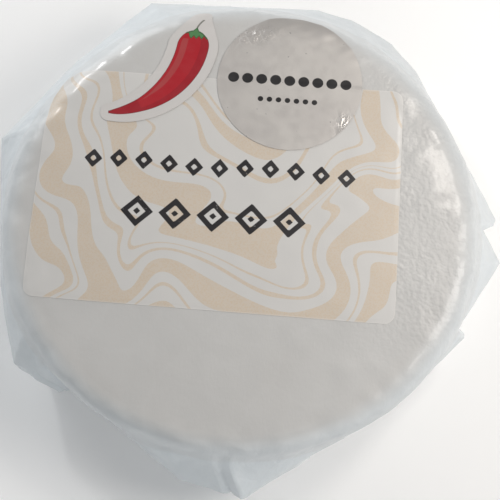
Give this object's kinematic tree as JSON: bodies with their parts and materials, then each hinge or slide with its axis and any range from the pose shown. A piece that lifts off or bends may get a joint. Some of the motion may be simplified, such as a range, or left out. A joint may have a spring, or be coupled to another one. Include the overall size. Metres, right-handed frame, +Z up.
{
  "type": "camembert",
  "caption": "Round soft cheese wrapped in pleated waxed paper, with a marbled label, a round silver seal and a chilli sticker on its top.",
  "frame": {"origin": "on the resting surface, under the middle of the wrapped outline", "axes": "+Z up through the labelled face; +X along the main label's long side, towards its right end; +Y towards the label edge that the round seal overlaps"},
  "size_m": [0.1232, 0.1222, 0.0315],
  "materials": {
    "waxed_paper": "satin",
    "label_paper": "satin",
    "silver_film": "gloss",
    "sticker_paper": "gloss"
  },
  "bodies": {
    "root": {"wrapped_cheese": "waxed_paper", "main_label": "label_paper", "round_seal": "silver_film", "chilli_sticker": "sticker_paper"}
  },
  "joints": []
}
